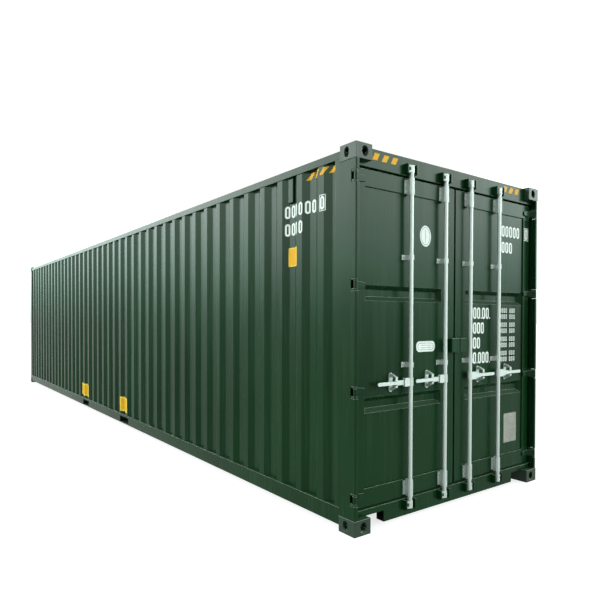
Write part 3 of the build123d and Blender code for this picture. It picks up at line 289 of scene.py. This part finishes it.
def film(name, dark, light, rough, metal=0.0):
    """A thin even coat or film, whose flat colour fades a little in patches of about 50 mm."""
    material, tree, shader = new_material(name)
    place = node(tree, "ShaderNodeTexCoord").outputs["Object"]
    fade = node(tree, "ShaderNodeTexNoise", {"Scale": 22.0, "Detail": 3.0}, {"Vector": place})
    tone = node(tree, "ShaderNodeValToRGB", {"stops": [(0.35, dark), (0.65, light)]},
                {"Fac": fade.outputs["Fac"]})
    tree.links.new(tone.outputs["Color"], shader.inputs["Base Color"])
    gloss = node(tree, "ShaderNodeMapRange",
                 {"From Min": 0.3, "From Max": 0.7, "To Min": rough - 0.05, "To Max": rough + 0.08},
                 {"Value": fade.outputs["Fac"]})
    tree.links.new(gloss.outputs["Result"], shader.inputs["Roughness"])
    shader.inputs["Metallic"].default_value = metal
    shader.inputs["Specular IOR Level"].default_value = 0.15
    return material


# Cast vinyl film, warm yellow and smooth, and the paler edge of a label
YELLOW = film("yellow_vinyl_film", "#D69C00", "#DEA600", 0.5)
PALE_YELLOW = film("pale_yellow_vinyl_film", "#DDBE2A", "#E5C63A", 0.45)
# Chlorinated rubber stencil paint, a matt and slightly chalky white
WHITE = film("white_stencil_paint", "#DDE5DF", "#EDF3EE", 0.5)
# Thin printed lines, a cool grey on white
GREY_INK = film("grey_printed_ink", "#A9B2B4", "#B5BDBE", 0.5)
# Brushed and anodised aluminium, a dull warm grey, and its darker etched lines
PLATE = film("anodised_aluminium_plate", "#8C8C84", "#9A9A92", 0.42, 0.3)
PLATE_INK = film("etched_aluminium", "#7C7C76", "#868680", 0.5, 0.3)

SLOT_MATERIALS = {
    "green_paint": GREEN,
    "cast_steel": CASTING,
    "underframe_paint": UNDER,
    "galvanised_steel": ZINC,
    "seal_rubber": RUBBER,
    "floor_timber": PLYWOOD,
}


def dress_frame():
    """Gives every CAD node the material of its slot."""
    for part in frame["record"]["subparts"]:
        made = frame["nodes"][part["node"]]
        made.data.materials.clear()
        made.data.materials.append(SLOT_MATERIALS[part["material_slot"]])


# Modelling helpers

def only(piece):
    """Selects one piece and nothing else."""
    bpy.ops.object.select_all(action="DESELECT")
    piece.select_set(True)
    bpy.context.view_layer.objects.active = piece


def set_in_mesh(piece):
    """Moves a piece's place, turn and size into its mesh."""
    only(piece)
    bpy.ops.object.transform_apply(location=True, rotation=True, scale=True)
    return piece


def merge(pieces):
    """Joins several meshes into one piece."""
    bpy.ops.object.select_all(action="DESELECT")
    for piece in pieces:
        piece.select_set(True)
    bpy.context.view_layer.objects.active = pieces[0]
    if len(pieces) > 1:
        bpy.ops.object.join()
    return bpy.context.view_layer.objects.active


def copies(piece, places, turn=0.0):
    """Copies of a piece at the given places, each with its own mesh."""
    made = []
    for place in places:
        only(piece)
        bpy.ops.object.duplicate()
        copy = bpy.context.object
        copy.location = Vector(place)
        copy.rotation_euler.z = turn
        made.append(set_in_mesh(copy))
    return made


def thicken(piece):
    """Gives a flat film its thickness, outwards from the face that it lies on."""
    only(piece)
    bpy.ops.object.modifier_add(type="SOLIDIFY")
    piece.modifiers[-1].thickness = FILM
    piece.modifiers[-1].offset = 1.0
    bpy.ops.object.modifier_apply(modifier=piece.modifiers[-1].name)
    return piece


def settle(piece, name, material, body):
    """Names a finished piece, gives it its finish and lets it ride."""
    set_in_mesh(piece)
    piece.name = name
    piece.data.name = name
    piece.data.materials.clear()
    piece.data.materials.append(material)
    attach(piece, body)


def tablet(width, height, corner=0.0, slant=0.0):
    """A flat shape at the origin that faces the doors' side, with round corners or a slant."""
    bpy.ops.mesh.primitive_plane_add(size=1, rotation=(radians(90), 0, 0))
    made = bpy.context.object
    made.scale = (width, height, 1)
    set_in_mesh(made)
    bpy.ops.object.mode_set(mode="EDIT")
    if corner:
        bpy.ops.mesh.select_all(action="SELECT")
        bpy.ops.mesh.bevel(offset=corner, segments=5, affect="VERTICES")
    if slant:
        bpy.ops.mesh.select_all(action="DESELECT")
        bpy.ops.object.mode_set(mode="OBJECT")
        for vertex in made.data.vertices:
            vertex.select = vertex.co.z > 0
        bpy.ops.object.mode_set(mode="EDIT")
        bpy.ops.transform.translate(value=(slant, 0, 0))
    bpy.ops.object.mode_set(mode="OBJECT")
    return made


def oval(width, height):
    """A flat oval at the origin that faces the doors' side."""
    bpy.ops.mesh.primitive_circle_add(vertices=48, radius=0.5, fill_type="NGON",
                                      rotation=(radians(90), 0, 0))
    made = bpy.context.object
    made.scale = (width, height, 1)
    return set_in_mesh(made)


def hollow(made, border):
    """Cuts the middle out of a flat shape and leaves a border of the given width."""
    only(made)
    bpy.ops.object.mode_set(mode="EDIT")
    bpy.ops.mesh.select_all(action="SELECT")
    bpy.ops.mesh.inset(thickness=border, depth=0)
    bpy.ops.mesh.delete(type="FACE")
    bpy.ops.object.mode_set(mode="OBJECT")
    return made


def nought(width, height, stroke):
    """A bold upright nought."""
    return hollow(tablet(width, height, corner=0.46 * width), stroke)


def wave_x(y):
    """X of the outer face of the left side's sheet at a place along it."""
    along = (y - WALL_LOW.y) % WAVE_PITCH
    if along < WAVE_TROUGH:
        return TROUGH_X
    rise = (along - WAVE_TROUGH) / WAVE_SLOPE
    if rise < 1:
        return TROUGH_X + (CREST_X - TROUGH_X) * rise
    fall = max(0.0, (along - WAVE_TROUGH - WAVE_SLOPE - WAVE_CREST) / WAVE_SLOPE)
    return CREST_X + (TROUGH_X - CREST_X) * fall


def fold_places(low, high):
    """Y of each fold of the left side between two places."""
    steps = (0, WAVE_TROUGH, WAVE_TROUGH + WAVE_SLOPE, WAVE_TROUGH + WAVE_SLOPE + WAVE_CREST)
    folds = [WALL_LOW.y + wave * WAVE_PITCH + step for wave in range(WAVES + 1) for step in steps]
    return [place for place in folds if low < place < high]


def lay_on_wave(mark, lift):
    """Cuts a flat mark at the folds of the left side, lays it on the sheet and thickens it."""
    along = [vertex.co.y for vertex in mark.data.vertices]
    only(mark)
    bpy.ops.object.mode_set(mode="EDIT")
    for place in fold_places(min(along), max(along)):
        bpy.ops.mesh.select_all(action="SELECT")
        bpy.ops.mesh.bisect(plane_co=(0, place, 0), plane_no=(0, 1, 0))
    bpy.ops.object.mode_set(mode="OBJECT")
    for vertex in mark.data.vertices:
        vertex.co.x = wave_x(vertex.co.y) - FILM_GAP - lift * FILM
    return thicken(mark)


def on_side(mark, places, lift=0):
    """Copies of a mark on the left side, each place given by its Y and Z."""
    made = copies(mark, [(SIDE_PLANE, y, z) for y, z in places], SIDE_TURN)
    bpy.data.objects.remove(mark)
    return [lay_on_wave(copy, lift) for copy in made]


def on_doors(mark, places, face, lift=0):
    """Copies of a mark on a face that looks out past the doors, each place given by its X and Z."""
    made = copies(mark, [(x, face - FILM_GAP - lift * FILM, z) for x, z in places])
    bpy.data.objects.remove(mark)
    return [thicken(copy) for copy in made]


def row_places(start, pitch, count, level):
    """Evenly spaced places along a level row."""
    return [(start + pitch * i, level) for i in range(count)]


# Painted marks and plates

def stripes():
    """Yellow slanted marks at both ends of the header and under the left top rail."""
    left_end = row_places(start=-0.983, pitch=0.0995, count=3, level=2.835)
    right_end = row_places(start=0.712, pitch=0.098, count=3, level=2.836)
    header = on_doors(tablet(0.054, 0.054, slant=0.029), left_end + right_end, HEADER_FACE)
    settle(merge(header), "header_stripes", YELLOW, "frame")
    under_rail = row_places(start=-5.780, pitch=0.096, count=4, level=2.762)
    side = on_side(tablet(0.050, 0.052, slant=0.050), under_rail)
    settle(merge(side), "side_stripes", YELLOW, "frame")


def side_labels():
    """Yellow labels: one high near the doors and two over the fork pockets."""
    # Place of each label, then width, height and corner of its edge and of its field
    labels = (
        ((-5.283, 2.131), (0.158, 0.160, 0.006), (0.140, 0.142, 0.004)),
        ((1.120, 0.322), (0.500, 0.215, 0.010), (0.430, 0.165, 0.006)),
        ((-0.985, 0.322), (0.310, 0.215, 0.010), (0.240, 0.165, 0.006)),
    )
    edges = []
    fields = []
    for place, edge, field in labels:
        edges += on_side(tablet(*edge), [place])
        fields += on_side(tablet(*field), [place], lift=1)
    settle(merge(edges), "side_label_edges", PALE_YELLOW, "frame")
    settle(merge(fields), "side_label_fields", YELLOW, "frame")


def side_numbers():
    """Two rows of noughts on the left side, and one at the end of the upper row in a box."""
    boxed = [(-5.697, 2.515)]
    upper = row_places(start=-5.196, pitch=-0.0715, count=6, level=2.517)
    lower = row_places(start=-5.196, pitch=-0.0715, count=4, level=2.366)
    figures = on_side(nought(*LARGE_NOUGHT), upper + boxed)
    figures += on_side(nought(*LARGE_NOUGHT), lower)
    figures += on_side(hollow(tablet(0.070, 0.128), border=0.006), boxed)
    settle(merge(figures), "side_numbers", WHITE, "frame")


def door_numbers():
    """Two rows of noughts high on the right door, and a boxed one on its stile."""
    boxed = [(1.117, 2.446)]
    upper = row_places(start=0.678, pitch=0.062, count=6, level=2.447)
    lower = row_places(start=0.678, pitch=0.062, count=4, level=2.292)
    figures = on_doors(nought(*LARGE_NOUGHT), upper, DOOR_PANEL)
    figures += on_doors(nought(*LARGE_NOUGHT), lower, DOOR_PANEL)
    figures += on_doors(nought(*STILE_NOUGHT), boxed, DOOR_LEAF)
    figures += on_doors(hollow(tablet(0.072, 0.126), border=0.007), boxed, DOOR_LEAF)
    settle(merge(figures), "door_numbers", WHITE, "right_door")


def weight_table():
    """Four rows on the right door: large noughts and dots, and two lines of small noughts each."""
    start, pitch = 0.249, 0.057
    dot_aside, dot_drop = 0.018, 0.044
    top_row, row_pitch = 1.661, 0.1357
    line_rise = 0.029
    table = []
    # How many large noughts stand before and after the dot of each row
    for row, (before_dot, after_dot) in enumerate(((3, 2), (4, 0), (3, 0), (2, 3))):
        level = top_row - row_pitch * row
        places = row_places(start, pitch, before_dot, level)
        dots = []
        if after_dot:
            middle = start + pitch * before_dot
            places += row_places(middle + dot_aside, pitch, after_dot, level)
            dots = [(middle - dot_aside, level - dot_drop),
                    (middle + pitch * after_dot, level - dot_drop)]
        table += on_doors(nought(*TABLE_NOUGHT), places, DOOR_PANEL)
        if dots:
            table += on_doors(tablet(0.013, 0.014), dots, DOOR_PANEL)
        for line in (level + line_rise, level - line_rise):
            places = row_places(start=0.668, pitch=0.0335, count=5, level=line)
            places += row_places(start=0.866, pitch=0.034, count=3, level=line)
            table += on_doors(nought(*SMALL_NOUGHT), places, DOOR_PANEL)
    settle(merge(table), "weight_table", WHITE, "right_door")


def door_disc():
    """A white oval disc on the left door with a thin ring and an upright line."""
    place = [(-0.372, 2.293)]
    disc = on_doors(oval(0.136, 0.174), place, DOOR_PANEL)
    settle(merge(disc), "door_disc", WHITE, "left_door")
    lines = on_doors(hollow(oval(0.116, 0.152), border=0.008), place, DOOR_PANEL, lift=1)
    lines += on_doors(tablet(0.008, 0.110), place, DOOR_PANEL, lift=1)
    settle(merge(lines), "door_disc_ring", GREY_INK, "left_door")


def round_ended_plate():
    """A white plate with round ends on the left door, with an outline and two lines."""
    x, z, line_rise = -0.362, 1.378, 0.010
    plate = on_doors(tablet(0.232, 0.088, corner=0.036), [(x, z)], DOOR_PANEL)
    settle(merge(plate), "round_ended_plate", WHITE, "left_door")
    outline = hollow(tablet(0.196, 0.060, corner=0.024), border=0.006)
    lines = on_doors(outline, [(x, z)], DOOR_PANEL, lift=1)
    rows = [(x, z + line_rise), (x, z - line_rise)]
    lines += on_doors(tablet(0.120, 0.006), rows, DOOR_PANEL, lift=1)
    settle(merge(lines), "round_ended_plate_lines", GREY_INK, "left_door")


def data_plate():
    """An aluminium plate low on the right door, with ten etched lines."""
    x, z = 0.877, 0.558
    top_line, line_pitch, line_count = 0.658, 0.022, 10
    plate = on_doors(tablet(0.208, 0.280, corner=0.004), [(x, z)], DOOR_PANEL)
    settle(merge(plate), "data_plate", PLATE, "right_door")
    rows = [(x, top_line - line_pitch * i) for i in range(line_count)]
    lines = on_doors(tablet(0.170, 0.004), rows, DOOR_PANEL, lift=1)
    settle(merge(lines), "data_plate_lines", PLATE_INK, "right_door")


def bolt_head():
    """A hexagon bolt head on its washer, facing the doors' side, at the origin."""
    facing = (radians(90), 0, 0)
    bpy.ops.mesh.primitive_cylinder_add(vertices=20, radius=0.011, depth=0.002,
                                        location=(0, -0.001, 0), rotation=facing)
    washer = set_in_mesh(bpy.context.object)
    bpy.ops.mesh.primitive_cylinder_add(vertices=6, radius=0.0085, depth=0.006,
                                        location=(0, -0.005, 0), rotation=facing)
    head = set_in_mesh(bpy.context.object)
    bpy.ops.object.mode_set(mode="EDIT")
    bpy.ops.mesh.select_all(action="SELECT")
    bpy.ops.mesh.bevel(offset=0.0012, segments=1, affect="EDGES")
    bpy.ops.object.mode_set(mode="OBJECT")
    return merge([head, washer])


def bracket_bolts():
    """Bolts on the plates of the end brackets, three each side, and on the guides."""
    bolt = bolt_head()
    for side_name, side in (("left", -1), ("right", 1)):
        places = []
        for bar in BAR_PLACES:
            for level in END_BRACKETS:
                for across in (-END_BOLTS_ACROSS, END_BOLTS_ACROSS):
                    for up in (-END_BOLTS_UP, 0.0, END_BOLTS_UP):
                        places.append((side * bar + across, DOOR_LEAF - BRACKET_PLATE, level + up))
            for level in GUIDES:
                for across in (-GUIDE_BOLTS_ACROSS, GUIDE_BOLTS_ACROSS):
                    places.append((side * bar + across, DOOR_PANEL - BRACKET_PLATE, level))
        heads = merge(copies(bolt, places))
        settle(heads, f"{side_name}_bracket_bolts", ZINC, f"{side_name}_door")
    bpy.data.objects.remove(bolt)


# Camera, floor and light

def camera():
    """The photograph's viewpoint, from a fit of the container's corners."""
    bpy.ops.object.camera_add(location=(-3.863, -8.996, 1.600))
    made = bpy.context.object
    turn = Matrix.Rotation(radians(-36.78), 3, "Z")
    tilt = Matrix.Rotation(radians(90 - 0.86), 3, "X")
    roll = Matrix.Rotation(radians(0.15), 3, "Z")
    made.rotation_euler = (turn @ tilt @ roll).to_euler()
    made.data.sensor_width = 36.0
    made.data.lens = 32.27
    made.data.shift_x = -0.0047
    made.data.shift_y = 0.0458
    made.data.clip_end = 500.0
    bpy.context.scene.camera = made


def seen_straight(tree, path):
    """One where a ray comes from the camera, a mirror or glass, and nought for soft light."""
    first = node(tree, "ShaderNodeMath", {"operation": "MAXIMUM"},
                 {0: path.outputs["Is Camera Ray"], 1: path.outputs["Is Glossy Ray"]})
    return node(tree, "ShaderNodeMath", {"operation": "MAXIMUM"},
                {0: first.outputs["Value"], 1: path.outputs["Is Transmission Ray"]}).outputs[0]


def floor():
    """A plain white floor that keeps a soft shadow and throws little light back."""
    bpy.ops.mesh.primitive_plane_add(size=400)
    made = bpy.context.object
    made.name = "studio_floor"
    material, tree, shader = new_material("matt_white_studio_floor")
    tree.nodes.remove(shader)
    # What lights the container from below, and what shows with its shadow
    lit = node(tree, "ShaderNodeBsdfDiffuse", {"Color": (0.4, 0.4, 0.4, 1)})
    shown = node(tree, "ShaderNodeBsdfDiffuse", {"Color": (0.5, 0.5, 0.5, 1)})
    # The camera sees it white, and mirrors and glass see it a little darker
    path = node(tree, "ShaderNodeLightPath")
    lift = node(tree, "ShaderNodeMapRange", {"To Min": 0.5, "To Max": 0.76},
                {"Value": path.outputs["Is Camera Ray"]})
    lifted = node(tree, "ShaderNodeEmission", {"Color": (1, 1, 1, 1)},
                  {"Strength": lift.outputs["Result"]})
    pale = node(tree, "ShaderNodeAddShader", links={0: shown.outputs[0], 1: lifted.outputs[0]})
    both = node(tree, "ShaderNodeMixShader",
                links={0: seen_straight(tree, path), 1: lit.outputs[0], 2: pale.outputs[0]})
    tree.links.new(both.outputs[0], tree.nodes["Material Output"].inputs["Surface"])
    made.data.materials.append(material)


def light():
    """Soft light from all round, and two long low windows that face each other."""
    world = bpy.data.worlds.new("white_studio")
    bpy.context.scene.world = world
    world.use_nodes = True
    tree = world.node_tree
    out = tree.nodes["World Output"]
    tree.nodes.remove(tree.nodes["Background"])
    way = node(tree, "ShaderNodeTexCoord").outputs["Generated"]
    split = node(tree, "ShaderNodeSeparateXYZ", links={"Vector": way})
    # They reach from the horizon to 30 degrees above it, with soft edges, and are green low down
    height = node(tree, "ShaderNodeValToRGB",
                  {"stops": [(0.0, "#000000"), (0.04, "#446A5A"), (0.10, "#96B2AA"),
                             (0.22, "#E4F2EF"), (0.40, "#FFFFFF"), (0.50, "#000000")]},
                  {"Fac": split.outputs["Z"]})
    # One lies to the left behind the container, the other to the right before its doors
    across = node(tree, "ShaderNodeVectorMath", {"operation": "DOT_PRODUCT", 1: WINDOW_WAY},
                  {0: way})
    either = node(tree, "ShaderNodeMath", {"operation": "ABSOLUTE"}, {0: across.outputs["Value"]})
    width = node(tree, "ShaderNodeMapRange",
                 {"From Min": 0.25, "From Max": 1.0, "To Min": 0.0, "To Max": WINDOW_LIGHT},
                 {"Value": either.outputs["Value"]})
    bright = node(tree, "ShaderNodeBackground",
                  links={"Color": height.outputs["Color"], "Strength": width.outputs["Result"]})
    soft = node(tree, "ShaderNodeBackground", {"Color": (1, 1, 1, 1), "Strength": SOFT_LIGHT})
    # The backdrop, white for the camera, mirrors and glass
    white = node(tree, "ShaderNodeBackground", {"Color": (1, 1, 1, 1), "Strength": 1.0})
    straight = seen_straight(tree, node(tree, "ShaderNodeLightPath"))
    plain = node(tree, "ShaderNodeMixShader",
                 links={0: straight, 1: soft.outputs[0], 2: white.outputs[0]})
    both = node(tree, "ShaderNodeAddShader", links={0: plain.outputs[0], 1: bright.outputs[0]})
    tree.links.new(both.outputs[0], out.inputs["Surface"])


dress_frame()
stripes()
side_labels()
side_numbers()
door_numbers()
weight_table()
door_disc()
round_ended_plate()
data_plate()
bracket_bolts()
camera()
floor()
light()
bpy.context.scene.view_settings.view_transform = "Standard"
